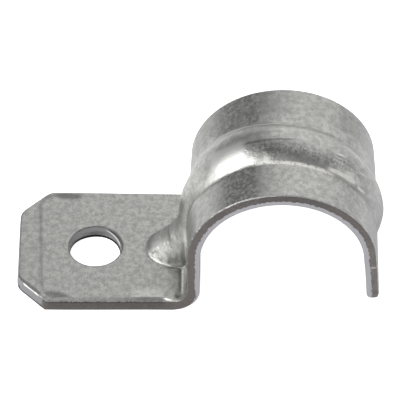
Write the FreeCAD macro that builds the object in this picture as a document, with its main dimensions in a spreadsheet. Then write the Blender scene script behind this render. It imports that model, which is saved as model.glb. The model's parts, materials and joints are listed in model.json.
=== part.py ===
import FreeCAD, Part
import math
import os

import Sketcher
from FreeCAD import Vector

# One-hole conduit strap, pressed from one strip of zinc-coated sheet steel.
# A flat tab takes one screw. Beside it the strip turns up and over the conduit in a saddle that
# opens downwards, and ends in a short free leg on the far side. A bead pressed outwards along the
# middle of the strip stiffens it: it starts in a domed dart across the bend, runs over the saddle
# and sinks back into the sheet on the free leg.
#
# Frame: X runs along the strip, from the tab towards the saddle; Y runs along the conduit; Z is up.
# The finished strap has its origin on the screw's axis, in the mounting plane. Its sketches are drawn
# about the conduit instead: their own zero lies straight below the conduit's axis.
#
# The sheet has one thickness everywhere but at the bend, which the press thins. So it is built as the
# press leaves it: an outer form, bead and all, less an inner form that follows it one thickness
# further in.

doc = FreeCAD.newDocument("conduit_strap")

# ---- driving dimensions, in millimetres and degrees ----

DIMENSIONS = {
    "gauge": 1.7,                # thickness of the sheet
    "strap_width": 20.4,         # width of the strip
    "saddle_radius": 10.75,      # inside of the saddle
    "axis_height": 10.0,         # conduit's axis above the mounting plane
    "tab_reach": 36.0,           # conduit's axis to the end of the tab
    "corner_cut": 4.0,           # cut across each corner of the tab
    "corner_round": 0.6,         # softened ends of those cuts
    "screw_hole": 7.2,           # diameter of the screw hole
    "screw_reach": 25.2,         # conduit's axis to the middle of the screw hole
    "bend_radius": 1.1,          # hollow side of the bend between tab and leg
    "bend_back_radius": 4.0,     # round side of that bend, where the sheet is thinned
    "free_leg_splay": 4.8,       # outward lean of the free leg
    "free_leg_length": 7.5,      # straight part of the free leg
    "free_end_round": 0.6,       # rounded end of the free leg
    "bead_radius": 3.8,          # round section of the bead, outside
    "bead_height": 1.1,          # crest of the bead above the sheet
    "bead_blend": 1.0,           # blend between bead and sheet
    "edge_roll": 0.3,            # outer edges of the strip, rolled over by the shear
    "bead_end_drop": 0.6,        # the bead starts to sink this far below the axis
    "bead_sink_radius": 7.5,     # curve on which it sinks
    "bead_run_out": 0.11,        # its crest line ends this far under the face of the sheet
    "dart_angle": 45.0,          # rise of the dart from the tab
    "dart_radius": 5.2,          # curve from the dart up into the leg
    "nose_reach": 14.7,          # conduit's axis to the middle of the dart's round nose
}

sheet = doc.addObject("Spreadsheet::Sheet", "dims")
for row, (name, size) in enumerate(DIMENSIONS.items(), start=1):
    sheet.set(f"A{row}", name)
    sheet.set(f"B{row}", str(size))
    sheet.setAlias(f"B{row}", name)
doc.recompute()


def dim(name):
    return float(sheet.get(name))


# ---- the body, and what its sketches share ----

strap = doc.addObject("PartDesign::Body", "strap")
strap.Label = "strap"

START, END, MIDDLE = 1, 2, 3
ORIGIN = (-1, 1)
X_AXIS, UP_AXIS = -1, -2


def new_sketch(name, role):
    sketch = strap.newObject("Sketcher::SketchObject", name)
    plane = next(f for f in strap.Origin.OriginFeatures if f.Role == role)
    sketch.AttachmentSupport = [(plane, "")]
    sketch.MapMode = "FlatFace"
    return sketch


def line(sketch, start, end):
    return sketch.addGeometry(Part.LineSegment(Vector(*start), Vector(*end)))


def arc(sketch, middle, radius, start, end):
    circle = Part.Circle(Vector(*middle), Vector(0, 0, 1), radius)
    return sketch.addGeometry(Part.ArcOfCircle(circle, math.radians(start), math.radians(end)))


def along(start, degrees, distance):
    turn = math.radians(degrees)
    return (start[0] + distance * math.cos(turn), start[1] + distance * math.sin(turn))


def hold(sketch, kind, *places):
    sketch.addConstraint(Sketcher.Constraint(kind, *places))


def drive(sketch, formula, kind, *places):
    size = sketch.evalExpression(formula)
    number = math.radians(size.Value) if kind == "Angle" else float(size)
    index = sketch.addConstraint(Sketcher.Constraint(kind, *places, number))
    sketch.setExpression(f"Constraints[{index}]", formula)


gauge = dim("gauge")
inner = dim("saddle_radius")
outer = inner + gauge
crest = outer + dim("bead_height")
axis = (0.0, dim("axis_height"))
splay = dim("free_leg_splay")
bend_inner = dim("bend_radius")
bend_back = dim("bend_back_radius")
bend_middle = (-outer - bend_inner, gauge + bend_inner)
back_middle = (-inner - bend_back, bend_back)
side = dim("strap_width") / 2.0


# ---- outer form: the strip's upper and outer side, filled in below ----

outline = new_sketch("outer_outline", "XZ_Plane")
tab_corner = (-dim("tab_reach"), gauge)
saddle_foot = along(axis, splay, outer)
leg_lean = splay - 90.0
free_end = along(saddle_foot, leg_lean, dim("free_leg_length"))
across_end = splay + 180.0
closing = (0.0, free_end[1] - free_end[0] * math.tan(math.radians(splay)))

tab_end = line(outline, (tab_corner[0], 0.0), tab_corner)
tab_top = line(outline, tab_corner, (bend_middle[0], gauge))
bend_top = arc(outline, bend_middle, bend_inner, 270.0, 360.0)
leg_side = line(outline, (-outer, bend_middle[1]), (-outer, axis[1]))
saddle = arc(outline, axis, outer, splay, 180.0)
free_side = line(outline, saddle_foot, free_end)
end_line = line(outline, free_end, closing)
closing_up = line(outline, closing, (0.0, 0.0))
base = line(outline, (0.0, 0.0), (tab_corner[0], 0.0))

hold(outline, "Coincident", tab_end, END, tab_top, START)
hold(outline, "Tangent", tab_top, END, bend_top, START)
hold(outline, "Tangent", bend_top, END, leg_side, START)
hold(outline, "Tangent", leg_side, END, saddle, END)
hold(outline, "Tangent", saddle, START, free_side, START)
hold(outline, "Coincident", free_side, END, end_line, START)
hold(outline, "Coincident", end_line, END, closing_up, START)
hold(outline, "Coincident", closing_up, END, base, START)
hold(outline, "Coincident", base, END, tab_end, START)
hold(outline, "Coincident", closing_up, END, *ORIGIN)
hold(outline, "Vertical", tab_end)
hold(outline, "Horizontal", tab_top)
hold(outline, "Vertical", leg_side)
hold(outline, "Perpendicular", free_side, end_line)
hold(outline, "Vertical", closing_up)
hold(outline, "Horizontal", base)
hold(outline, "PointOnObject", saddle, MIDDLE, UP_AXIS)
drive(outline, "dims.axis_height", "DistanceY", *ORIGIN, saddle, MIDDLE)
drive(outline, "dims.saddle_radius + dims.gauge", "Radius", saddle)
drive(outline, "dims.gauge", "DistanceY", tab_end, START, tab_end, END)
drive(outline, "dims.tab_reach", "DistanceX", base, END, base, START)
drive(outline, "dims.bend_radius", "Radius", bend_top)
drive(outline, "(dims.free_leg_splay - 90) * 1 deg", "Angle", free_side)
drive(outline, "dims.free_leg_length", "Distance", free_side)
doc.recompute()

outer_form = strap.newObject("PartDesign::Pad", "outer_form")
outer_form.Profile = outline
outer_form.Midplane = True
outer_form.setExpression("Length", "dims.strap_width")
doc.recompute()


# ---- the bead's crest line, from the crown of the saddle down each side ----

rise = dim("dart_angle")
dart_radius = dim("dart_radius")
bead_radius = dim("bead_radius")
nose = (-dim("nose_reach"), 0.0)
crown = (0.0, axis[1] + crest)
nose_top = along(nose, rise + 90.0, bead_radius)
slope = math.radians(rise)
turn_x = -crest - dart_radius
dart_run = (turn_x - nose_top[0] + dart_radius * math.sin(slope)) / math.cos(slope)
dart_top = along(nose_top, rise, dart_run)
turn_middle = along(dart_top, rise + 90.0, dart_radius)

tab_path = new_sketch("crest_to_tab", "XZ_Plane")
crest_arc = arc(tab_path, axis, crest, 90.0, 180.0)
crest_leg = line(tab_path, (-crest, axis[1]), (-crest, turn_middle[1]))
crest_turn = arc(tab_path, turn_middle, dart_radius, rise - 90.0, 0.0)
crest_dart = line(tab_path, dart_top, nose_top)
nose_arm = line(tab_path, nose_top, nose)
tab_path.setConstruction(nose_arm, True)
hold(tab_path, "Tangent", crest_arc, END, crest_leg, START)
hold(tab_path, "Tangent", crest_leg, END, crest_turn, END)
hold(tab_path, "Tangent", crest_turn, START, crest_dart, START)
hold(tab_path, "Coincident", crest_dart, END, nose_arm, START)
hold(tab_path, "Perpendicular", crest_dart, nose_arm)
hold(tab_path, "PointOnObject", crest_arc, MIDDLE, UP_AXIS)
hold(tab_path, "PointOnObject", crest_arc, START, UP_AXIS)
hold(tab_path, "Vertical", crest_leg)
drive(tab_path, "dims.axis_height", "DistanceY", *ORIGIN, crest_arc, MIDDLE)
drive(tab_path, "dims.saddle_radius + dims.gauge + dims.bead_height", "Radius", crest_arc)
drive(tab_path, "dims.dart_radius", "Radius", crest_turn)
drive(tab_path, "dims.bead_radius", "Distance", nose_arm)
drive(tab_path, "dims.nose_reach", "DistanceX", nose_arm, END, *ORIGIN)
hold(tab_path, "PointOnObject", nose_arm, END, X_AXIS)
drive(tab_path, "(dims.dart_angle - 180) * 1 deg", "Angle", crest_dart)

free_path = new_sketch("crest_to_free_leg", "XZ_Plane")

# The free leg's crest line turns inwards until bead and hollow have both run out into the sheet.
SINK_TURN = (
    "acos(1 - (dims.bead_height + dims.bead_run_out) / (dims.bead_sink_radius - dims.gauge))"
)
sink_radius = dim("bead_sink_radius")
sink_turn = free_path.evalExpression(SINK_TURN).Value
crest_foot = along(axis, splay, crest)
sink_run = (crest_foot[1] - axis[1] + dim("bead_end_drop")) / math.cos(math.radians(splay))
sink_start = along(crest_foot, leg_lean, sink_run)
sink_middle = along(sink_start, across_end, sink_radius)

far_arc = arc(free_path, axis, crest, splay, 90.0)
far_leg = line(free_path, crest_foot, sink_start)
far_sink = arc(free_path, sink_middle, sink_radius, splay - sink_turn, splay)
hold(free_path, "Tangent", far_arc, START, far_leg, START)
hold(free_path, "Tangent", far_leg, END, far_sink, END)
hold(free_path, "PointOnObject", far_arc, MIDDLE, UP_AXIS)
hold(free_path, "PointOnObject", far_arc, END, UP_AXIS)
drive(free_path, "dims.axis_height", "DistanceY", *ORIGIN, far_arc, MIDDLE)
drive(free_path, "dims.saddle_radius + dims.gauge + dims.bead_height", "Radius", far_arc)
drive(free_path, "(dims.free_leg_splay - 90) * 1 deg", "Angle", far_leg)
drive(free_path, "dims.bead_end_drop", "DistanceY", far_leg, END, far_arc, MIDDLE)
drive(free_path, "dims.bead_sink_radius", "Radius", far_sink)
drive(free_path, SINK_TURN, "Angle", far_sink)
doc.recompute()


# ---- the bead's section: round on top, with straight sides that reach right through the bend ----

# Depth below the crest line of the sheet's under side where the dart crosses the bend, with a
# fifth of the gauge to spare.
FORM_DEPTH = (
    "dims.bead_radius + (dims.nose_reach - dims.saddle_radius - dims.gauge - dims.bend_radius)"
    " * sin(dims.dart_angle * 1 deg) - (dims.gauge + dims.bend_radius)"
    " * cos(dims.dart_angle * 1 deg) + dims.bend_radius + 1.2 * dims.gauge"
)
CROWN_HEIGHT = "dims.axis_height + dims.saddle_radius + dims.gauge + dims.bead_height"


def bead_section(name, radius_formula):
    section = new_sketch(name, "YZ_Plane")
    radius = float(section.evalExpression(radius_formula))
    depth = float(section.evalExpression(FORM_DEPTH))
    middle = (0.0, crown[1] - bead_radius)
    bottom = crown[1] - depth
    top = arc(section, middle, radius, 0.0, 180.0)
    left = line(section, (-radius, middle[1]), (-radius, bottom))
    under = line(section, (-radius, bottom), (radius, bottom))
    right = line(section, (radius, bottom), (radius, middle[1]))
    hold(section, "Tangent", top, END, left, START)
    hold(section, "Coincident", left, END, under, START)
    hold(section, "Coincident", under, END, right, START)
    hold(section, "Tangent", right, END, top, START)
    hold(section, "PointOnObject", top, MIDDLE, UP_AXIS)
    hold(section, "Vertical", left)
    hold(section, "Horizontal", under)
    drive(section, radius_formula, "Radius", top)
    drive(section, f"{CROWN_HEIGHT} - dims.bead_radius", "DistanceY", *ORIGIN, top, MIDDLE)
    drive(section, f"{CROWN_HEIGHT} - ({FORM_DEPTH})", "DistanceY", *ORIGIN, under, START)
    return section


def sweep(kind, name, section, path):
    pipe = strap.newObject(f"PartDesign::{kind}Pipe", name)
    pipe.Profile = section
    pipe.Spine = (path, [f"Edge{n + 1}" for n in range(len(path.Shape.Edges))])
    pipe.Mode = "Frenet"
    return pipe


def ball(kind, name, radius_formula):
    shape = strap.newObject(f"PartDesign::{kind}Sphere", name)
    plane = next(f for f in strap.Origin.OriginFeatures if f.Role == "XY_Plane")
    shape.AttachmentSupport = [(plane, "")]
    shape.MapMode = "FlatFace"
    shape.setExpression("Radius", radius_formula)
    shape.setExpression("AttachmentOffset.Base.x", "-dims.nose_reach")
    return shape


outer_section = bead_section("outer_section", "dims.bead_radius")
doc.recompute()
sweep("Additive", "bead_to_tab", outer_section, tab_path)
doc.recompute()
sweep("Additive", "bead_to_free_leg", outer_section, free_path)
doc.recompute()
ball("Additive", "bead_nose", "dims.bead_radius")
doc.recompute()

# ---- inner form: everything under the sheet, with the bead's hollow one gauge further in ----

# The inner form reaches down past the round nose of the hollow.
FORM_FLOOR = "2 * dims.bead_radius"
underside = new_sketch("inner_outline", "XZ_Plane")
inner_foot = along(axis, splay, inner)
floor = -float(underside.evalExpression(FORM_FLOOR))
leg_run = (inner_foot[1] - floor) / math.cos(math.radians(splay))
leg_line_end = along(inner_foot, leg_lean, leg_run)
far_corner = (-dim("tab_reach"), floor)

tab_under = line(underside, (-dim("tab_reach"), 0.0), (back_middle[0], 0.0))
bend_under = arc(underside, back_middle, bend_back, 270.0, 360.0)
leg_inside = line(underside, (-inner, back_middle[1]), (-inner, axis[1]))
saddle_inside = arc(underside, axis, inner, splay, 180.0)
free_inside = line(underside, inner_foot, leg_line_end)
bottom_line = line(underside, leg_line_end, far_corner)
far_line = line(underside, far_corner, (far_corner[0], 0.0))

hold(underside, "Tangent", tab_under, END, bend_under, START)
hold(underside, "Tangent", bend_under, END, leg_inside, START)
hold(underside, "Tangent", leg_inside, END, saddle_inside, END)
hold(underside, "Tangent", saddle_inside, START, free_inside, START)
hold(underside, "Coincident", free_inside, END, bottom_line, START)
hold(underside, "Coincident", bottom_line, END, far_line, START)
hold(underside, "Coincident", far_line, END, tab_under, START)
hold(underside, "PointOnObject", tab_under, START, X_AXIS)
hold(underside, "Horizontal", tab_under)
hold(underside, "Vertical", leg_inside)
hold(underside, "Horizontal", bottom_line)
hold(underside, "Vertical", far_line)
hold(underside, "PointOnObject", saddle_inside, MIDDLE, UP_AXIS)
drive(underside, "dims.axis_height", "DistanceY", *ORIGIN, saddle_inside, MIDDLE)
drive(underside, "dims.saddle_radius", "Radius", saddle_inside)
drive(underside, "dims.bend_back_radius", "Radius", bend_under)
drive(underside, "dims.tab_reach", "DistanceX", tab_under, START, *ORIGIN)
drive(underside, FORM_FLOOR, "DistanceY", far_line, START, far_line, END)
drive(underside, "(dims.free_leg_splay - 90) * 1 deg", "Angle", free_inside)

inner_form = strap.newObject("PartDesign::Pocket", "inner_form")
inner_form.Profile = underside
inner_form.Type = "ThroughAll"
inner_form.Midplane = True

HOLLOW_RADIUS = "dims.bead_radius - dims.gauge"
inner_section = bead_section("inner_section", HOLLOW_RADIUS)
doc.recompute()
sweep("Subtractive", "hollow_to_tab", inner_section, tab_path)
sweep("Subtractive", "hollow_to_free_leg", inner_section, free_path)
ball("Subtractive", "nose_hollow", HOLLOW_RADIUS)
doc.recompute()


# ---- blends, the tab's cut corners, the rounded free end and the screw hole ----

def edges_at(*points):
    names = []
    for number, edge in enumerate(strap.Tip.Shape.Edges, start=1):
        if any(edge.distToShape(Part.Vertex(Vector(*point)))[0] < 0.001 for point in points):
            names.append(f"Edge{number}")
    return names


def on_saddle(radius, y):
    x, z = along(axis, 135.0, radius)
    return (x, y, z)


def dress(kind, name, prop, formula, *points):
    """Rounds or cuts the edges that pass through the points, and those that run on smoothly."""
    base = strap.Tip
    edges = edges_at(*points)
    feature = strap.newObject(f"PartDesign::{kind}", name)
    feature.Base = (base, edges)
    feature.setExpression(prop, formula)
    doc.recompute()


bead_height = dim("bead_height")
bead_edge = math.sqrt(2.0 * bead_radius * bead_height - bead_height**2)
dress("Fillet", "bead_border", "Radius", "dims.bead_blend", on_saddle(outer, bead_edge))

end_x = -dim("tab_reach")
cut = dim("corner_cut")
mid_sheet = gauge / 2.0
dress("Chamfer", "tab_corners", "Size", "dims.corner_cut",
      (end_x, side, mid_sheet), (end_x, -side, mid_sheet))
dress("Fillet", "tab_corner_ends", "Radius", "dims.corner_round",
      (end_x, side - cut, mid_sheet), (end_x + cut, side, mid_sheet),
      (end_x, cut - side, mid_sheet), (end_x + cut, -side, mid_sheet))

dress("Chamfer", "rolled_edges", "Size", "dims.edge_roll",
      on_saddle(outer, side), on_saddle(outer, -side))

# The two fillets of the free end share one gauge between them, so each is held under half of it.
END_ROUND = "min(dims.free_end_round; 0.45 * dims.gauge)"
free_end_inside = along(inner_foot, leg_lean, dim("free_leg_length"))
dress("Fillet", "free_end_rounding", "Radius", END_ROUND,
      (free_end[0], 0.0, free_end[1]), (free_end_inside[0], 0.0, free_end_inside[1]))

hole_outline = new_sketch("hole_outline", "XY_Plane")
hole_circle = hole_outline.addGeometry(
    Part.Circle(Vector(-dim("screw_reach"), 0, 0), Vector(0, 0, 1), dim("screw_hole") / 2.0))
hold(hole_outline, "PointOnObject", hole_circle, MIDDLE, X_AXIS)
drive(hole_outline, "dims.screw_hole", "Diameter", hole_circle)
drive(hole_outline, "dims.screw_reach", "DistanceX", hole_circle, MIDDLE, *ORIGIN)
screw_hole = strap.newObject("PartDesign::Pocket", "screw_hole")
screw_hole.Profile = hole_outline
screw_hole.Type = "ThroughAll"
screw_hole.Midplane = True
doc.recompute()

strap.setExpression("Placement.Base.x", "dims.screw_reach")
doc.recompute()

# ---- checks, then the file ----

for item in doc.Objects:
    if "Invalid" in item.State or "Error" in item.State:
        raise RuntimeError(f"{item.Name} did not build")
shape = strap.Shape
if shape.isNull() or not shape.isValid() or len(shape.Solids) != 1:
    raise RuntimeError("the strap is not one sound solid")

os.makedirs("parts", exist_ok=True)
shape.exportStep("parts/strap.step")
print(f"strap: {shape.Volume:.1f} cubic mm, {len(shape.Faces)} faces, {shape.optimalBoundingBox()}")
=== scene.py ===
import json
import math

import bmesh
import bpy
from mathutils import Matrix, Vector, noise


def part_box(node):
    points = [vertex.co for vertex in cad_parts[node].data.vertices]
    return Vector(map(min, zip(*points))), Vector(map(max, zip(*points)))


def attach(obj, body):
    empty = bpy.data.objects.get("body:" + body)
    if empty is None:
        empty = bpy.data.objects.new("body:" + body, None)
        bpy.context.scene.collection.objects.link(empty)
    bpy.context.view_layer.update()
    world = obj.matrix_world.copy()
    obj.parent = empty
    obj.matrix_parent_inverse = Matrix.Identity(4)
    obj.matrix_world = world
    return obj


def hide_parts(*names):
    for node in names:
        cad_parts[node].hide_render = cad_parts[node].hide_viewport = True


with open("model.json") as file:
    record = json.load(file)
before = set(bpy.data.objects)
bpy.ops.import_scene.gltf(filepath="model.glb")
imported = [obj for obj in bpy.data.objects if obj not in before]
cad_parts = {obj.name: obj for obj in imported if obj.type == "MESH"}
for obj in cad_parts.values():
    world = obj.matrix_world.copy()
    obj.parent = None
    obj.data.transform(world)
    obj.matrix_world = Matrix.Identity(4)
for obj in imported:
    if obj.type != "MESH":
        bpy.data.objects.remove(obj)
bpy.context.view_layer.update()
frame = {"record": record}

# ---- the blank ----
# A conduit strap starts as a flat blank, cut from a coil of zinc-coated sheet steel. Its tab end has two
# corners cut off and one round hole punched for the screw.

# Sizes are millimetres until the finished mesh is scaled. A place on the blank is (run, across): run is
# measured along the strip from the end of the tab, on the face that will be the outer one.
MM = 0.001
mounts = {mount["name"]: mount for mount in frame["record"]["mounts"]}
low, high = (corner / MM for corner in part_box("strap"))
gauge = mounts["screw_hole"]["dims"]["length_mm"]
half_width = high.y
FRONT_CUT, REAR_CUT = 3.75, 4.1
hole_radius = mounts["screw_hole"]["dims"]["r_mm"]
hole_run = mounts["screw_hole"]["pos_m"][0] / MM - low.x

seat_radius = mounts["conduit_seat"]["dims"]["r_mm"]
seat_x, seat_z = (mounts["conduit_seat"]["pos_m"][axis] / MM for axis in (0, 2))
outer_radius = seat_radius + gauge
bend_radius = 1.1
bend_x = seat_x - outer_radius - bend_radius
bend_z = gauge + bend_radius
splay = math.radians(4.8)

tab_length = bend_x - low.x
bend_length = bend_radius * math.pi / 2
leg_length = seat_z - bend_z
leg_end = tab_length + bend_length + leg_length
saddle_length = outer_radius * (math.pi - splay)
free_length = 7.95
blank_length = leg_end + saddle_length + free_length

COLUMNS = 380
ROWS = 104
HOLE_PATCH = 4.9
HOLE_RINGS = (1.0, 0.72, 0.5, 0.34, 0.22, 0.13, 0.07, 0.03, 0)
SIDE_BLEND, CORNER_BLEND = 0.2, 0.7


def bump_at(place, centre, spread):
    """A smooth hump, 1 at its centre, that has died away at about twice its spread."""
    return math.exp(-((place - centre) / spread) ** 2)


def crowded(start, end, count, density):
    """Places from start to end, closer together where density is high."""
    steps = 40 * count
    fine = [start + (end - start) * step / steps for step in range(steps + 1)]
    totals = [0.0]
    for place in fine[:-1]:
        totals.append(totals[-1] + density(place))
    places, step = [], 0
    for number in range(count + 1):
        while totals[step] < totals[-1] * number / count and step < steps:
            step += 1
        places.append(fine[step])
    return places


def soft_least(a, b, blend):
    """The lesser of two values, rounded off where they differ by less than blend."""
    overlap = max(0.0, 1 - abs(a - b) / blend)
    return min(a, b) - blend * overlap**2 / 4


def corner_cut(across):
    """How far the cut corner on this side reaches along the strip and across it."""
    return FRONT_CUT if across < 0 else REAR_CUT


def inside_by(run, across):
    """Distance from a place on the blank to the nearest sheared edge. Corners are slightly rounded."""
    side = half_width - abs(across)
    corner = (side + run - corner_cut(across)) / math.sqrt(2)
    end = min(run, blank_length - run)
    outline = soft_least(soft_least(side, end, SIDE_BLEND), corner, CORNER_BLEND)
    hole = math.hypot(run - hole_run, across) - hole_radius
    return min(outline, hole)


def columns_wanted(run):
    """How closely the mesh's columns stand: closest at the bend and at the two ends."""
    return 1 + 1.3 * bump_at(run, tab_length, 2.6) + bump_at(run, 0, 0.7) + 2 * bump_at(run, blank_length, 0.7)


def rows_wanted(share):
    """How closely the mesh's rows stand: closest at the bead's borders and at the two sides."""
    return 1 + 1.5 * bump_at(abs(share), 0.36, 0.09) + 4 * bump_at(abs(share), 1, 0.06)


strap = bmesh.new()
bmesh.ops.create_grid(strap, x_segments=COLUMNS, y_segments=ROWS, size=1)
runs = crowded(0, blank_length, COLUMNS, columns_wanted)
shares = crowded(-1, 1, ROWS, rows_wanted)
for vertex in strap.verts:
    run = runs[round((vertex.co.x + 1) / 2 * COLUMNS)]
    width = min(half_width, half_width - corner_cut(vertex.co.y) + run)
    vertex.co = (run, shares[round((vertex.co.y + 1) / 2 * ROWS)] * width, 0)

hole_centre = Vector((hole_run, 0, 0))
patch = [face for face in strap.faces
         if max(abs(part) for part in face.calc_center_median() - hole_centre) < HOLE_PATCH]
border = dict.fromkeys(edge for face in patch for edge in face.edges)
border = [edge for edge in border if sum(face in patch for face in edge.link_faces) == 1]
bmesh.ops.delete(strap, geom=patch, context="FACES")
for distance in HOLE_RINGS:
    grown = bmesh.ops.extrude_edge_only(strap, edges=border)["geom"]
    border = [part for part in grown if isinstance(part, bmesh.types.BMEdge)]
    for vertex in {vertex for edge in border for vertex in edge.verts}:
        vertex.co = hole_centre + (vertex.co - hole_centre).normalized() * (hole_radius + distance)
bmesh.ops.recalc_face_normals(strap, faces=strap.faces)
if strap.faces[0].normal.z < 0:
    bmesh.ops.reverse_faces(strap, faces=strap.faces)

# ---- the press ----
# The press turns the strip up beside the screw, carries it over the conduit in a saddle, and in the
# same stroke pushes a bead outwards along its middle. The bead begins as a domed dart that stiffens
# the bend, and runs out on the free leg.

saddle_middle = leg_end + saddle_length / 2
saddle_end = blank_length - free_length
bead_height = high.z - seat_z - outer_radius
BEAD_DRIFT, DRIFT_START = 0.065, 16
FRONT_BLEND, REAR_BLEND = 0.16, 0.3
REAR_NARROWER = 0.84
FLANK_SLOPE = 4
BORDER_WANDER = 0.09
NECK_SLIMMER = 0.2
bead_end = seat_z + 2.0
sink_radius = 7.0

dart_round = 3.8
dart_turn = 5.2
dart_slope = math.radians(45)
DART_BLEND = 0.3
HAMMERED = 0.045
NOSE_SOFTENED = 0.15
nose = Vector((10.5, 0))
dart_centre = Vector((seat_x - outer_radius - bead_height - dart_turn, 0))
dart_centre.y = nose.y + (dart_turn + dart_round - (dart_centre - nose).dot(
    Vector((-math.sin(dart_slope), 0)))) / math.cos(dart_slope)

seat = Vector((seat_x, seat_z))
CREASE_RADIUS = 0.6
back_radius = 4.0
back_centre = Vector((seat_x - seat_radius - back_radius, back_radius))
LEG_BOW, FRONT_BOW_WIDTH, REAR_BOW_WIDTH = 0.3, 3.5, 5.5
REAR_DRAWN, FRONT_DRAWN = 0.03, 0.3
SKEW = 0.009
SPREAD, LEG_SPREAD = 0.08, 0.07
END_SET_BACK, END_SLANT = 0.2, 0.033

PAD_EDGE, PAD_SLANT, PAD_CORNER, PAD_HALF_WIDTH = -7.45, 0.045, 2.4, 7.0
PAD_DEPTH, REAR_DENT_DEPTH, FRONT_DENT_DEPTH, DIP_DEPTH = 0.03, 0.09, 0.07, 0.02
PIT_DEPTH, RIDGE_HEIGHT, CREASE_DEPTH, FOLD_DEPTH = 0.28, 0.06, 0.07, 0.08
FRONT_DENT_SLANT, RIDGE_SLANT, UP_LEG_SLANT = 0.145, 1.5, 0.27
TAB_SPECK = (0.57, 6.03)
SADDLE_SPECKS = ((leg_end + 35.2, -4.7), (leg_end + 26.7, -8.6))
SPECK_SIZE = 0.2


def eased(value, start, end):
    """Rises smoothly from 0 to 1 while value goes from start to end."""
    share = min(1.0, max(0.0, (value - start) / (end - start)))
    return share * share * (3 - 2 * share)


def faded(value, start, end):
    """Falls smoothly from 1 to 0 while value goes from start to end."""
    return 1 - eased(value, start, end)


def between(value, start, full, last, end):
    """Rises from 0 at start to 1 at full, and falls from 1 at last to 0 at end."""
    return eased(value, start, full) * faded(value, last, end)


def soft_most(a, b, blend):
    """The greater of two values, rounded off where they differ by less than blend."""
    return -soft_least(-a, -b, blend)


def sheet_line(run, radius=bend_radius):
    """Where the outer face of the blank lies once it is bent, and which way it faces, as (x, z)."""
    run = min(max(run, 0.0), blank_length)
    if run < tab_length:
        return Vector((low.x + run, gauge)), Vector((0, 1))
    run -= tab_length
    if run < bend_length:
        straight, curve = bend_radius - radius, radius * math.pi / 2
        past_straight = run / bend_length * (2 * straight + curve) - straight
        turn = min(max(past_straight / radius, 0.0), math.pi / 2)
        facing = Vector((-math.sin(turn), math.cos(turn)))
        point = Vector((bend_x + straight, bend_z - straight)) - facing * radius
        point.x += min(past_straight, 0.0)
        point.y += max(past_straight - curve, 0.0)
        return point, facing
    run -= bend_length
    if run < leg_length:
        return Vector((bend_x + bend_radius, bend_z + run)), Vector((-1, 0))
    run -= leg_length
    turn = math.pi - min(run, saddle_length) / outer_radius
    facing = Vector((math.cos(turn), math.sin(turn)))
    down = Vector((facing.y, -facing.x)) * max(0.0, run - saddle_length)
    return seat + facing * outer_radius + down, facing


def sunk_below_crest(across, roundness):
    """Depth of a round crest's flank below its top. It falls away steeply past the round."""
    within = min(abs(across), roundness * 0.96)
    flank = roundness - math.sqrt(roundness**2 - within**2)
    return flank + FLANK_SLOPE * (abs(across) - within)


def dart_reach(way, across):
    """Distance from the dart's own centre to its skin, looking along way."""
    section = math.sqrt(max(dart_round**2 - across**2, 0.0))
    skin = dart_turn + dart_round - section
    turn = math.atan2(way.y, way.x) + dart_slope
    if turn >= 0:
        return skin
    to_nose = nose - dart_centre
    if skin * math.tan(-turn) <= to_nose.dot(Vector((-math.cos(dart_slope), -math.sin(dart_slope)))):
        return skin / math.cos(turn)
    near = way.dot(to_nose)
    miss = to_nose.length_squared - near**2 - section**2
    if miss >= 0:
        return near + 2 * (math.sqrt(miss + section**2) - section)
    return near + miss / math.sqrt(NOSE_SOFTENED - miss)


def from_spot(x, y, middle, reach):
    """Distance from the middle of an oval spot, as a share of its reach each way."""
    return math.hypot((x - middle[0]) / reach[0], (y - middle[1]) / reach[1])


def tab_marks(x, y, run):
    """On the tab: how deep the press pad and the dents went, and how much darker the dents and a speck are, with
    painted shade on the pad's line, beside the cut corner, at the end and on the rolled front edge.
    """
    from_pad = PAD_EDGE - PAD_SLANT * y - x
    pad = math.hypot(max(0.0, PAD_CORNER + from_pad), max(0.0, abs(y) - PAD_HALF_WIDTH)) - PAD_CORNER
    rear_dent = faded(from_spot(x, y, (-4.2, 9.35), (2.1, 0.65)), 0.4, 1.1)
    slanted = y + FRONT_DENT_SLANT * (x + 5.1)
    front_dent = faded(from_spot(x, slanted, (-5.1, -8.95), (2.0, 0.6)), 0.6, 1.05)
    dip = bump_at(math.hypot(x - 6.4, 0.5 * y), 0, 1.5)
    depth = PAD_DEPTH * faded(pad, -0.2, 0.2) * faded(x, 3, 10)
    depth += REAR_DENT_DEPTH * rear_dent + FRONT_DENT_DEPTH * front_dent + DIP_DEPTH * dip

    pad_line = bump_at(pad, 0.2, 0.28) * faded(x, -6, -4)
    beside_cut = (half_width + y + run - FRONT_CUT) / math.sqrt(2)
    cut_line = bump_at(beside_cut, 0.6, 0.2) * faded(run, 2.9, 3.7)
    on_glint = between(run, 0.6, 1.2, 2.7, 3.1)
    cut_lip = faded(beside_cut, 0.1, 0.4) * (1 - on_glint) * faded(run, FRONT_CUT, 4)
    speck = bump_at(math.dist((x, y), TAB_SPECK), 0, SPECK_SIZE)
    roll_strip = faded(half_width + y, 0.55, 0.9) * between(x, 3.5, 7, 9.3, 10.3)
    # Painted shade on the pad's line, beside the cut corner and at the ends of its lip, at the tab's end and on
    # the rolled front edge; the dents and the speck are darker marks.
    dull_and_shade = rear_dent + front_dent + 0.75 * pad_line + 1.5 * cut_line + 0.7 * bump_at(run, 0, 0.2)
    return depth, dull_and_shade + cut_lip + 1.2 * speck + 0.55 * roll_strip


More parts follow.
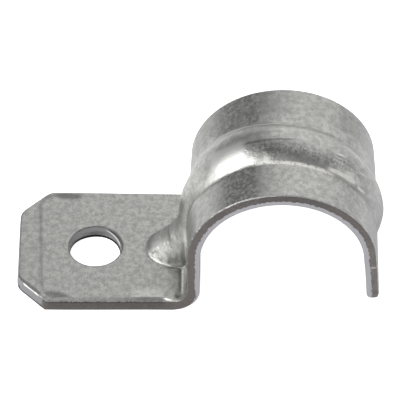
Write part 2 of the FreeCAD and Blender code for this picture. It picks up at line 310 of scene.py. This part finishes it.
def fold_marks(x, y):
    """Where the sheet was folded: a pit and a ridge at the corner, a crease, and lines under the dart, with
    painted shade and painted highlights on them.
    """
    pit = bump_at(from_spot(x, y, (11.5, -9.0), (0.34, 0.6)), 0, 0.75)
    ridge = bump_at(from_spot(x + RIDGE_SLANT * (y + 9.8), y, (10.4, -9.8), (0.9, 0.55)), 0, 0.8)
    beside = between(y, -9.2, -8.7, -4.4, -4.0)
    crease_dark = bump_at(x, 11.72, 0.17) * beside
    crease_bright = bump_at(x, 12.05, 0.11) * beside
    crease_shade = bump_at(x, 11.3, 0.9) * between(y, -8.9, -8.0, -4.4, -4.0)
    fold = y + 3.85 + 0.25 * noise.noise((0.8 * x, 0, 7))
    reach = between(x, 9.6, 10.6, 12.2, 12.9)
    first, ridge_between, second = (bump_at(fold, centre, 0.14) * reach for centre in (0.5, 0.27, -0.03))
    up_leg = bump_at(y + 3.6 - UP_LEG_SLANT * (x - 13.3), 0, 0.13) * between(x, 12.2, 12.8, 15.2, 15.9)
    depth = PIT_DEPTH * pit - RIDGE_HEIGHT * ridge + CREASE_DEPTH * crease_dark + FOLD_DEPTH * second
    # Painted shade in the pit, the crease and the fold lines, up the leg beside the dart, and broadly beside the
    # crease.
    dull_and_shade = pit + crease_dark + first + 1.6 * second + up_leg + 0.35 * crease_shade
    # Painted highlights: a bright line on the crease, on the ridge, and between the fold lines.
    return depth, dull_and_shade, 0.8 * crease_bright + 0.7 * ridge + 0.3 * ridge_between


def marks(run, across):
    """Marks that the press pads, the fold and handling leave: how deep they are, how much darker with painted
    shade, and the fold's painted highlights.
    """
    x, y = run + low.x, across
    depth, dull_and_shade, flaked = 0.0, 0.0, 0.0
    if x < 10:
        depth, dull_and_shade = tab_marks(x, y, run)
    if abs(x - 12) < 4.2:
        fold_depth, fold_shade, flaked = fold_marks(x, y)
        depth += fold_depth
        dull_and_shade += fold_shade
    # Painted shade along the front lip of the leg and the start of the saddle.
    on_front_leg = eased(run, tab_length + 0.9, tab_length + 1.5) * faded(run, leg_end + 3, leg_end + 8)
    dull_and_shade += 0.6 * faded(half_width + y, 0.06, 0.2) * on_front_leg
    dull_and_shade += sum(bump_at(math.dist((run, across), speck), 0, SPECK_SIZE) for speck in SADDLE_SPECKS)
    return depth, dull_and_shade, flaked


def bead_roundness(past_leg, beyond_middle):
    """Radius of the bead's crest: it widens over the saddle, and its rear side is tighter than its front."""
    roundness = dart_round + 4.7 * eased(past_leg, -1, 8) - 1.6 * eased(past_leg, 9, 19)
    roundness -= 0.9 * eased(past_leg, 24, 33)
    return roundness * REAR_NARROWER if beyond_middle > 0 else roundness


def pressed(run, across):
    """Where the press brings a place on the blank's outer face, and how far the bead rises there."""
    on_rear = eased(across, -2, 2)
    flare = max(eased(abs(across), 8.8, 9.8), faded(abs(across), 3.5, 4.5))
    point, facing = sheet_line(run, CREASE_RADIUS + (bend_radius - CREASE_RADIUS) * flare)
    blend = FRONT_BLEND if across < 0 else REAR_BLEND
    wander = BORDER_WANDER * noise.noise((0.9 * run, 0.3 * across, 3)) * (1 - 0.6 * on_rear)
    if point.x > dart_centre.x and point.y < dart_centre.y and run < leg_end:
        away = point - dart_centre
        facing = -away.normalized()
        rise = away.length - dart_reach(-facing, across)
        if abs(across) >= dart_round:
            rise = min(rise, 0.0)
        skin = point + facing * rise
        rough = noise.fractal((1.7 * skin.x, 1.7 * across, 1.7 * skin.y), 0.7, 2.1, 2)
        rise += wander * faded(rise, 0.1, 1) + HAMMERED * rough * (1 - on_rear) * eased(rise, 0, 0.3)
        blend += DART_BLEND * (1 - on_rear)
    elif run < tab_length:
        rise = -1.0
    else:
        past_leg = run - leg_end
        from_middle = across + BEAD_DRIFT * max(0.0, past_leg - DRIFT_START)
        rise = bead_height - sunk_below_crest(from_middle + wander, bead_roundness(past_leg, from_middle))
        if run > saddle_middle and point.y < bead_end:
            past = (bead_end - point.y) / math.cos(splay)
            rise -= sink_radius - math.sqrt(max(sink_radius**2 - past**2, 0.0))
    rise -= NECK_SLIMMER * bump_at(run, leg_end + 4.4, 1.8)
    on_leg = eased(run, tab_length + 0.4, tab_length + 2) * faded(run, leg_end - 2, leg_end + 5)
    bow = LEG_BOW * bump_at(across, 0, REAR_BOW_WIDTH if across > 0 else FRONT_BOW_WIDTH) * on_leg
    place = point + facing * (soft_most(rise, 0.0, blend) + bow)
    bent = eased(run, tab_length - 2, leg_end)
    place.x += bent * SKEW * (across + half_width)
    place.x += SPREAD * eased(run, saddle_middle, saddle_end)
    place.x += LEG_SPREAD * eased(run, saddle_end, saddle_end + 3)
    place.x += (END_SET_BACK - END_SLANT * across) * faded(run, 3, 7)
    drawn = FRONT_DRAWN * eased(run, 4, tab_length) if across < 0 else REAR_DRAWN * bent
    return Vector((place.x, across * (1 - drawn / half_width), place.y)), rise


blank_place = strap.verts.layers.float_vector.new("blank")
rim = strap.verts.layers.float.new("rim")
bead_rise = strap.verts.layers.float.new("bead_rise")
# Per vertex: darker marks with painted shade, and a bright scratch with the fold's painted highlights.
dulled = strap.verts.layers.float.new("dulled")
flaked = strap.verts.layers.float.new("flaked")
for vertex in strap.verts:
    run, across = vertex.co.xy
    vertex[blank_place] = (run, across, 0)
    vertex[rim] = inside_by(run, across)
    vertex.co, vertex[bead_rise] = pressed(run, across)
strap.normal_update()
outer_face = set(strap.verts)
bmesh.ops.solidify(strap, geom=strap.faces[:], thickness=gauge)
for vertex in strap.verts:
    if vertex in outer_face:
        run, across = vertex[blank_place].xy
        facing = sheet_line(run)[1]
        sunk, vertex[dulled], vertex[flaked] = marks(run, across)
        vertex.co -= Vector((facing.x, 0, facing.y)) * sunk
        continue
    vertex[blank_place].z = 1
    vertex[bead_rise] = -1
    away = Vector((vertex.co.x, vertex.co.z)) - back_centre
    if 1.05 * back_radius > away.x > 0 > away.y and away.length > back_radius:
        away *= back_radius / away.length
        vertex.co.x, vertex.co.z = back_centre + away

# ---- the sheared edges ----
# The shear rolls the outer face over, cuts cleanly through part of the thickness and breaks the rest, so a
# cut edge has a rounded lip, a rough dark fracture and a smooth bright band beside the inner face.

EDGE_CUTS = 13
ROLL_WIDTH, ROLL_DROP, ROLL_BACK = 0.9, 0.2, 0.36
LEG_ROLL, CHAMFER_ROLL, TAB_ROLL, SADDLE_ROLL = 0.12, 0.4, 0.88, 0.12
REAR_ROLL, REAR_SADDLE_ROLL = 0.3, 0.5
HOLE_ROLL, HOLE_EDGE, HOLE_LIP = 0.22, 1.2, 0.32
BEND_PILE = 0.35
LIP_RAGGED, LIP_NOTCH = 0.13, 2.2
TAB_ROUND, END_ROUND, END_STRETCH = 0.14, 0.55, 1.9
CLEAN_BAND = 0.6
TEAR_DEPTH = 0.05
SCRATCH_RUN, SCRATCH_WIDTH = leg_end + saddle_length + 1.9, 0.13


def away_from_metal(run, across):
    """The blank's own direction straight out through its nearest sheared edge."""
    step = 0.02
    along = inside_by(run - step, across) - inside_by(run + step, across)
    sideways = inside_by(run, across - step) - inside_by(run, across + step)
    return Vector((along, sideways)).normalized()


def roll_size(run, across):
    """How strongly the edge is rolled over at this place, from the rear edge's size to the front edge's."""
    rear_size = REAR_ROLL + REAR_SADDLE_ROLL * eased(run, tab_length, leg_end)
    past_cut = eased(run, 3.2, 4.4)
    on_tab = past_cut * faded(run, tab_length - 2.2, tab_length - 0.6)
    front_size = LEG_ROLL + CHAMFER_ROLL * (1 - past_cut) + TAB_ROLL * on_tab
    front_size += SADDLE_ROLL * eased(run, leg_end - 3, leg_end)
    return rear_size + (front_size - rear_size) * min(1.0, max(0.0, 0.5 - across / 10))


sides = [edge for edge in strap.edges
         if abs(edge.verts[0][blank_place].z - edge.verts[1][blank_place].z) > 0.5]
lip = {min(edge.verts, key=lambda vertex: vertex[blank_place].z) for edge in sides}
bmesh.ops.subdivide_edges(strap, edges=sides, cuts=EDGE_CUTS, use_grid_fill=True)
for vertex in strap.verts:
    run, across, depth = vertex[blank_place]
    distance = vertex[rim]
    from_end = blank_length - run
    on_cut_end = run < FRONT_CUT
    round_radius = TAB_ROUND * faded(run, 2.8, FRONT_CUT) if on_cut_end else END_ROUND
    to_end = distance if on_cut_end else from_end / END_STRETCH
    from_face = gauge * min(1 - depth, 1 if on_cut_end else depth)
    into = Vector((max(0.0, round_radius - to_end), max(0.0, round_radius - from_face)))
    past_round = max(0.0, 1 - round_radius / into.length) if into.length else 0.0
    if distance > ROLL_WIDTH and not past_round:
        continue
    facing = sheet_line(run)[1]
    along = Vector((facing.y, 0, -facing.x))
    outward = away_from_metal(run, across)
    out = along * outward.x + Vector((0, outward.y, 0))
    up = Vector((facing.x, 0, facing.y))
    size = roll_size(run, across)
    if from_end < 1:
        size *= max(0.01, eased(from_end, 0, 0.6))
        out = out if to_end > round_radius else along
        into.x *= END_STRETCH
    vertex.co -= past_round * (out * into.x + up * into.y * (-1 if depth > 0.5 else 1))
    at_hole = math.hypot(run - hole_run, across) < hole_radius + HOLE_EDGE
    if at_hole:
        size = HOLE_ROLL * (1 - 0.6 * eased(0.7 * (run - hole_run + across), -1, 3))
        burr = eased(depth - distance, 0.4, 1) * eased(0.6 * (run - hole_run) + 0.8 * across, -1, 3)
        vertex.co += out * HOLE_LIP * burr
    elif across < 0:
        piled = BEND_PILE * bump_at(run, tab_length + 0.7 * bend_length, 1.0)
        vertex.co += up * piled * faded(distance, 0, ROLL_WIDTH) * (1 - depth)
    if depth == 1:
        continue
    if depth == 0:
        roll = max(0.0, 1 - max(distance, 0) / (ROLL_WIDTH * size))
        vertex.co -= size * (out * ROLL_BACK * roll + up * ROLL_DROP * roll**2.2)
        if across < 0 and not at_hole:
            ragged = -LIP_RAGGED * abs(noise.fractal(vertex.co * LIP_NOTCH, 0.7, 2.1, 3)) * roll**6
            vertex.co += (out + 0.8 * up) * ragged
    else:
        back = ROLL_BACK * max(0.0, 1 - depth / CLEAN_BAND) ** 0.8
        vertex.co -= size * (out * back + up * ROLL_DROP * (1 - depth))
        if not at_hole and depth < CLEAN_BAND:
            torn = noise.fractal(vertex.co * LIP_NOTCH, 0.6, 2.1, 3)
            vertex.co += out * TEAR_DEPTH * min(0.0, torn - 0.1)
        if across < 0:
            scratch = bump_at(run, SCRATCH_RUN + 0.4 * depth, SCRATCH_WIDTH)
            vertex[flaked] = scratch * bump_at(depth, 0.35, 0.22)
    if distance < 0:
        vertex.co += out * distance

for edge in strap.edges:
    if all(vertex in lip for vertex in edge.verts):
        edge.smooth = False

bmesh.ops.scale(strap, vec=(MM, MM, MM), verts=strap.verts)
bmesh.ops.recalc_face_normals(strap, faces=strap.faces)
strap_mesh = bpy.data.meshes.new("pressed_strap")
strap.to_mesh(strap_mesh)
strap.free()
strap_mesh.shade_smooth()
pressed_strap = bpy.data.objects.new("pressed_strap", strap_mesh)
bpy.context.scene.collection.objects.link(pressed_strap)

# ---- the zinc coat ----
# The sheet has a thin galvanised coat. It is satin grey with a fine mottle, and the press has burnished it
# in places. Where the shear tore the edge, bare steel shows dark and rough, and the rest of the cut is smooth.


class Shade:
    """A socket of a node tree. Arithmetic on it adds Math nodes, so a mask reads as a plain sum."""

    def __init__(self, tree, output=None):
        self.tree, self.output = tree, output

    def node(self, kind, values=None, output=0, **settings):
        """Adds any other node: its settings first, then the numbers or links of its sockets."""
        made = self.tree.nodes.new("ShaderNode" + kind)
        for name, setting in settings.items():
            setattr(made, name, setting)
        for name, value in (values or {}).items():
            if isinstance(value, Shade):
                self.tree.links.new(value.output, made.inputs[name])
            else:
                made.inputs[name].default_value = value
        return Shade(self.tree, made.outputs[output])

    def maths(self, operation, first, second=0.0):
        return self.node("Math", {0: first, 1: second}, operation=operation)

    def __add__(self, other):
        return self.maths("ADD", self, other)

    def __sub__(self, other):
        return self.maths("SUBTRACT", self, other)

    def __rsub__(self, other):
        return self.maths("SUBTRACT", other, self)

    def __mul__(self, other):
        return self.maths("MULTIPLY", self, other)

    __radd__ = __add__
    __rmul__ = __mul__

    def larger(self, other):
        return self.maths("MAXIMUM", self, other)

    def clamped(self):
        return self.maths("MINIMUM", self, 1.0)

    def rises(self, start, end):
        """Goes smoothly from 0 to 1 while this goes from start to end."""
        return self.node("MapRange", {"Value": self, "From Min": start, "From Max": end},
                         interpolation_type="SMOOTHSTEP")

    def falls(self, start, end):
        """Goes smoothly from 1 to 0 while this goes from start to end."""
        return 1 - self.rises(start, end)

    def band(self, start, full, last, end):
        """Rises from 0 at start to 1 at full, and falls from 1 at last to 0 at end."""
        return self.rises(start, full) * self.falls(last, end)

    def grain(self, size, detail=2.0, roughness=0.5):
        """Noise over this place, with features of about the size given, between 0 and 1."""
        return self.node("TexNoise", {"Vector": self, "Scale": 1 / size, "Detail": detail,
                                      "Roughness": roughness})

    def tinted(self, share, colour):
        """This colour, with a share of another mixed in."""
        return self.node("Mix", {0: share, 6: self, 7: (*colour, 1)}, output=2, data_type="RGBA")


def mixed(*parts):
    """The sum of some masks, each times its own share."""
    return sum(share * mask for share, mask in parts)


# ZINC_SHADE and CUT_SHADOW serve mostly as painted shade, ZINC_BRIGHT mostly as painted highlight, and the colour
# of the flaking coat also as painted glint.
ZINC_LIGHT = (0.535, 0.535, 0.51)
ZINC_DARK = (0.31, 0.31, 0.297)
ZINC_SHADE = (0.17, 0.17, 0.165)
ZINC_FLAKE_AND_GLINT = (0.80, 0.79, 0.74)
ZINC_BRIGHT = (0.85, 0.85, 0.81)
ZINC_DRAWN = (0.425, 0.425, 0.445)
TORN_STEEL = (0.205, 0.188, 0.18)
SHEARED_STEEL = (0.40, 0.395, 0.415)
PUNCHED_STEEL = (0.27, 0.27, 0.275)
CUT_SHADOW = (0.03, 0.03, 0.03)
SATIN = 0.26
GRAIN_RELIEF = 0.03

zinc = bpy.data.materials.new("zinc_coat")
zinc.use_nodes = True
shader = zinc.node_tree.nodes["Principled BSDF"]
zinc_tree = Shade(zinc.node_tree)
place = zinc_tree.node("VectorMath", {0: zinc_tree.node("TexCoord", output="Object"), "Scale": 1 / MM},
                       operation="SCALE")
on_blank = zinc_tree.node("Attribute", attribute_name="blank", output="Vector")
run_along, across_it, depth_in = (zinc_tree.node("SeparateXYZ", {0: on_blank}, output=axis) for axis in "XYZ")
to_rim, rising, dull_and_shade_mask, flake_and_glint_mask = (
    zinc_tree.node("Attribute", attribute_name=name, output="Fac")
    for name in ("rim", "bead_rise", "dulled", "flaked"))
from_screw = zinc_tree.node("VectorMath", {0: place}, operation="LENGTH", output="Value")
past_fold = run_along - tab_length
past_leg = run_along - leg_end

mottle = place.grain(0.8, 3.0, 0.6)
speckle = place.grain(0.2, 2.0, 0.6)
patch_grain = place.grain(0.5, 2.5, 0.65)
flake_grain = place.grain(0.5, 3.0, 0.65)
tear_grain = place.grain(0.5, 3.0, 0.6) - 0.5
top_grain = place.grain(0.4, 3.0, 0.65) - 0.5

# The side of the sheet: torn on its outer part along the long edges, and cleanly cut elsewhere. Depth runs
# from 0 on the outer face to 1 on the inner one.
cut = depth_in.band(0.03, 0.08, 0.975, 1.0)
on_face = 1 - cut
near_hole = from_screw.falls(4.2, 4.5)
hole_wall = near_hole * cut
hole_torn = near_hole * depth_in.rises(0.76, 0.82)
free_end = past_leg.rises(28, 38)
tear_line = 0.62 + 0.5 * past_fold.falls(-1, 3.5) + 0.36 * tear_grain - 0.05 * free_end
ragged_top = (depth_in + 0.3 * top_grain).rises(0.08, 0.18).larger(past_fold.rises(-2, -1))
torn = cut * (depth_in - tear_line).falls(-0.02, 0.02) * (1 - near_hole) * ragged_top
torn = torn * run_along.rises(FRONT_CUT - 0.5, FRONT_CUT - 0.1)
torn_all = torn + hole_torn
clean_cut = cut * (1 - torn_all)
torn_tab = torn * past_fold.falls(-3, 0)
torn_top = torn_tab * depth_in.falls(0.15, 0.35)
torn_arch = torn * past_leg.band(6, 10, 22, 28)
# The chamfer's clean facet is made darker, and painted shade draws a dark line under its lip.
cut_end = clean_cut * run_along.falls(FRONT_CUT, FRONT_CUT + 0.4)
under_lip_shade = cut_end * depth_in.rises(0.68, 0.74)
# A painted glint on the punched wall, and painted shade on the wall beyond it.
past_glint = depth_in - (0.3 + 0.18 * (run_along - (hole_run + 1.5)))
punch_glint = hole_wall * run_along.rises(hole_run + 1.0, hole_run + 1.8) * across_it.rises(0.8, 1.6)
punch_glint = punch_glint * past_glint.band(-0.1, -0.02, 0.02, 0.1)
shade_beyond_glint = hole_wall * run_along.rises(hole_run + 1.0, hole_run + 2.0) * past_glint.falls(-0.2, -0.05)

# The parts of the outer face, by how far the bead has risen, how far along the strip and how far across it.
on_bead = rising.rises(0.15, 0.8)
on_dart = on_bead * past_leg.falls(-5, 0)
dart_top_shade = on_dart * past_fold.rises(-2.3, -0.3)
front_side = across_it.falls(-0.5, 0.5)
front_face = on_face * front_side
rear_face = on_face * across_it.rises(1, 2)
outer_lip = to_rim.falls(0.02, 0.12) * front_face
# Painted shade around the hole's rim.
hole_rim_shade = near_hole * on_face * to_rim.falls(0.08, 0.32)

# Flaking coat painted bright as glints: at the bead's front border, in two streaks, on the dart's rim and the
# lip, and the mesh's scratch and fold highlights.
border_flake = front_face * rising.band(-0.3, -0.12, 0.04, 0.18) * past_leg.band(14.5, 17, 25, 27)
streak = on_face * across_it.band(-4.2, -4.05, -3.75, -3.6) * past_leg.band(24.8, 26.0, 29.2, 30.0)
streak_end = on_face * across_it.band(-4.35, -4.2, -4.05, -3.9) * past_leg.band(30.2, 30.5, 31.6, 32.0)
dart_rim = on_face * rising.band(-0.1, 0.1, 0.6, 1.6) * across_it.falls(-1.8, -0.8) * past_fold.falls(-2.8, -1.0)
lip_flake = outer_lip * past_leg.band(2, 5, 18, 20)
flake_and_glint = border_flake * flake_grain.rises(0.38, 0.46)
for share, mask, bare, covered in (
        (1.0, flake_and_glint_mask, 0.35, 0.5), (1.0, streak + streak_end, 0.25, 0.45),
        (0.55, dart_rim, 0.46, 0.54), (0.7, lip_flake, 0.5, 0.58)):
    flake_and_glint = flake_and_glint.larger(share * mask * flake_grain.rises(bare, covered))
flake_and_glint = flake_and_glint.clamped()

# Patches on the saddle where the tool's rubbing left the coat smooth; their dark speckle is a painted dark
# reflection.
rear_patch = across_it.rises(3.6, 4.4) * past_leg.band(2.0, 12.0, 15.8, 17.0)
front_patch = across_it.falls(-4.4, -3.6) * past_leg.band(9.5, 12.0, 15.5, 17.0)
crest_patch = on_bead * across_it.falls(-1.8, 0.4) * past_leg.band(13.5, 16.5, 26.0, 31.0)
rubbed_with_dark_reflection = mixed((0.85, rear_patch), (1, front_patch), (1, crest_patch)) * patch_grain.rises(0.36, 0.62)

# Painted shade in the fold, along the bead's borders and neck and the leg's front band, and a dark line down the
# crest.
fold_line = front_face * rising.band(-0.35, -0.1, 0.1, 0.4) * across_it.rises(-4.4, -4.1) * (
    past_fold.band(-0.4, 0.4, 3.5, 5))
crest_line = on_face * across_it.band(-0.95, -0.75, -0.6, -0.4) * past_leg.band(13, 15, 20, 22)
rear_line = rear_face * rising.band(-0.4, -0.15, 0.0, 0.25) * past_leg.band(12, 18, 31, 35.5)
front_line = front_face * rising.band(-0.5, -0.2, 0.1, 0.4) * past_leg.band(24, 27, 32.5, 36)
neck_line = front_face * rising.band(-0.3, -0.1, 0.0, 0.25) * past_fold.rises(5, 7) * past_leg.falls(9, 14)
front_neck = on_face * across_it.falls(-4.8, -4.0) * (
    run_along.rises(tab_length + 5, leg_end + 1) * past_leg.falls(6, 11))
# Painted shade on the rear flank, past the end of the crest's highlight, over the rear band, on the dart and on
# the front lip.
rear_flank = on_face * across_it.rises(2, 4) * past_leg.band(-3, 0, 5, 11)
shade_past_highlight = on_bead * across_it.falls(-2.2, 0.4) * past_leg.band(14.0, 15.4, 17, 21)
rear_band_shade = on_face * across_it.rises(4.5, 5.5) * past_leg.rises(1, 5) * (
    (1 - past_leg.band(8, 12, 15.8, 17)) * (1 - 0.6 * past_leg.band(19, 22, 26, 30)))
dart_rim_shade = dart_rim * flake_grain.falls(0.38, 0.55)
lip_shade = outer_lip * past_fold.rises(-0.3, 0.4) * past_leg.falls(11, 16)
# All of it together, with the darker marks and painted shade that the mesh carries.
shade_and_dark_marks = (dull_and_shade_mask + fold_line + mixed(
    (0.9, crest_line), (0.3, rear_line), (0.5, front_line), (0.7, neck_line), (0.3, front_neck),
    (0.05, rear_flank), (0.6, shade_past_highlight), (0.4, rear_band_shade), (0.4, dart_rim_shade), (0.1, on_dart),
    (0.5, dart_top_shade))).clamped()

# Painted highlights: glints beside the bead and on its crest, the crest's highlight and a highlight on its rear
# rise; and a lighter strip on the tab near its front edge, short of the fold.
stretched = zinc_tree.node("VectorMath", {0: on_blank, 1: (0.3, 2.5, 1.0)}, operation="MULTIPLY")
crest_glint = stretched.grain(1.0, 2.0).rises(0.5, 0.6) * on_face * (
    across_it.band(-2.8, -2.2, -1.4, -0.8) * past_leg.band(25.5, 27, 30, 31.5))
rear_glint = rear_face * rising.band(-0.12, -0.02, 0.06, 0.16) * past_leg.band(10, 13, 18, 24)
crest_light = on_bead * across_it.falls(-0.5, 0.5) * past_leg.band(8.5, 10.5, 14, 15.2)
lighter_front = on_face * across_it.band(-9.5, -9.2, -8.4, -7.4) * past_fold.band(-7, -5, -3, -1.5)
rear_rise_highlight = on_bead * across_it.rises(0.8, 1.6) * past_leg.band(13, 16, 23, 26)
brightened = mixed((1, crest_glint), (0.6, rear_glint), (0.65, crest_light), (0.35, lighter_front), (0.3, rear_rise_highlight))

# The coat's colour: the zinc's own grain, then painted dark reflection, painted shade and painted highlights, the
# cut and torn steel, and painted glints.
colour = zinc_tree.node("RGB")
colour.output.default_value = (*ZINC_LIGHT, 1)
for share, tint in (
        (mixed((0.55, mottle.rises(0.35, 0.65)), (0.3, speckle.rises(0.4, 0.75))), ZINC_DARK),
        (0.45 * rubbed_with_dark_reflection, ZINC_SHADE),
        (0.75 * shade_and_dark_marks, ZINC_SHADE),
        (brightened, ZINC_BRIGHT),
        (mixed((0.6, hole_rim_shade), (0.45, lip_shade)), CUT_SHADOW),
        (0.6 * free_end * on_face, ZINC_DRAWN),
        (clean_cut, SHEARED_STEEL),
        (0.8 * under_lip_shade, CUT_SHADOW),
        (0.24 * cut_end, CUT_SHADOW),
        (hole_wall, PUNCHED_STEEL),
        (torn * (0.8 + 0.4 * speckle - 0.15 * free_end), TORN_STEEL),
        (mixed((0.15, torn_tab), (0.4, torn_top)), CUT_SHADOW),
        (0.18 * torn_arch, CUT_SHADOW),
        (0.8 * shade_beyond_glint, CUT_SHADOW),
        (punch_glint, ZINC_FLAKE_AND_GLINT),
        (hole_torn, CUT_SHADOW),
        (flake_and_glint, ZINC_FLAKE_AND_GLINT)):
    colour = colour.tinted(share, tint)
roughness = SATIN + mixed((0.14, mottle), (0.14, speckle), (0.3, torn_all), (0.16, on_dart), (0.3, dart_rim),
                          (-0.12, rubbed_with_dark_reflection), (-0.05, on_bead))
height = mixed((0.5, mottle), (1, speckle), (1, on_dart * patch_grain), (2, torn_all * place.grain(0.3, 3.0)))
bump = zinc_tree.node("Bump", {"Height": height, "Strength": 1.0, "Distance": GRAIN_RELIEF * MM})
metal = 1 - 0.75 * flake_and_glint - 0.5 * punch_glint
for name, value in (("Base Color", colour), ("Roughness", roughness), ("Metallic", metal), ("Normal", bump)):
    zinc.node_tree.links.new(value.output, shader.inputs[name])
strap_mesh.materials.append(zinc)
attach(pressed_strap, "root")
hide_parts("strap")

# ---- the table, the lamps and the camera ----
# The strap stands on a plain white table under soft lamps: a large one on the left, one behind and
# above, and a weaker one on the right.

# Lengths from here on are metres.
TABLE_HALF = 2
TABLE_WHITE = (0.9, 0.9, 0.9, 1)
SEEN_GLOW, MIRRORED_GLOW = 0.8, 0.24
ROOM_GREY = (0.3, 0.3, 0.31, 1)
FOCAL_LENGTH = 218.3
CAMERA_DISTANCE = 0.325
camera_turn, camera_lift = math.radians(-1.15), math.radians(46.35)

scene = bpy.context.scene
scene.view_settings.view_transform = "Standard"
subject = Vector((14.28, 0, 11.12)) * MM


def softbox(name, direction, distance, size, radiance):
    """A square lamp that faces the strap, with its strength given as the brightness of its face."""
    lamp = bpy.data.lights.new(name, "AREA")
    lamp.size = size
    lamp.energy = radiance * math.pi * size**2
    holder = bpy.data.objects.new(name, lamp)
    scene.collection.objects.link(holder)
    way = Vector(direction).normalized()
    holder.location = subject + way * distance
    holder.rotation_euler = way.to_track_quat("Z", "Y").to_euler()


softbox("lamp_left", (-0.77, -0.25, 0.60), 0.5, 0.42, 4.8)
softbox("lamp_behind", (0.36, 0.72, 0.60), 0.6, 0.72, 0.8)
softbox("lamp_right", (0.92, -0.05, 0.38), 0.5, 0.22, 1.45)

world = bpy.data.worlds.new("studio")
world.use_nodes = True
scene.world = world
world.node_tree.nodes["Background"].inputs["Color"].default_value = ROOM_GREY

table_mesh = bpy.data.meshes.new("table")
table_shape = bmesh.new()
bmesh.ops.create_grid(table_shape, x_segments=1, y_segments=1, size=TABLE_HALF)
table_shape.to_mesh(table_mesh)
table_shape.free()
table = bpy.data.objects.new("table", table_mesh)
scene.collection.objects.link(table)
white = bpy.data.materials.new("white_table")
white.use_nodes = True
white_tree = Shade(white.node_tree)
path = white_tree.node("LightPath")
camera_ray, glossy_ray, clear_ray = (Shade(white.node_tree, path.output.node.outputs[f"Is {kind} Ray"])
                                     for kind in ("Camera", "Glossy", "Transmission"))
painted = white_tree.node("BsdfDiffuse", {"Color": TABLE_WHITE})
strength = SEEN_GLOW * camera_ray + MIRRORED_GLOW * (glossy_ray + clear_ray)
glow = white_tree.node("Emission", {"Strength": strength})
surface = white_tree.node("AddShader", {0: painted, 1: glow})
white.node_tree.links.new(surface.output, white.node_tree.nodes["Material Output"].inputs["Surface"])
table_mesh.materials.append(white)

camera_data = bpy.data.cameras.new("camera")
camera_data.lens = FOCAL_LENGTH
camera_data.clip_start = 0.01
camera = bpy.data.objects.new("camera", camera_data)
scene.collection.objects.link(camera)
towards = Vector((-math.sin(camera_turn) * math.cos(camera_lift),
                  -math.cos(camera_turn) * math.cos(camera_lift), math.sin(camera_lift)))
camera.location = subject + towards * CAMERA_DISTANCE
camera.rotation_euler = towards.to_track_quat("Z", "Y").to_euler()
scene.camera = camera
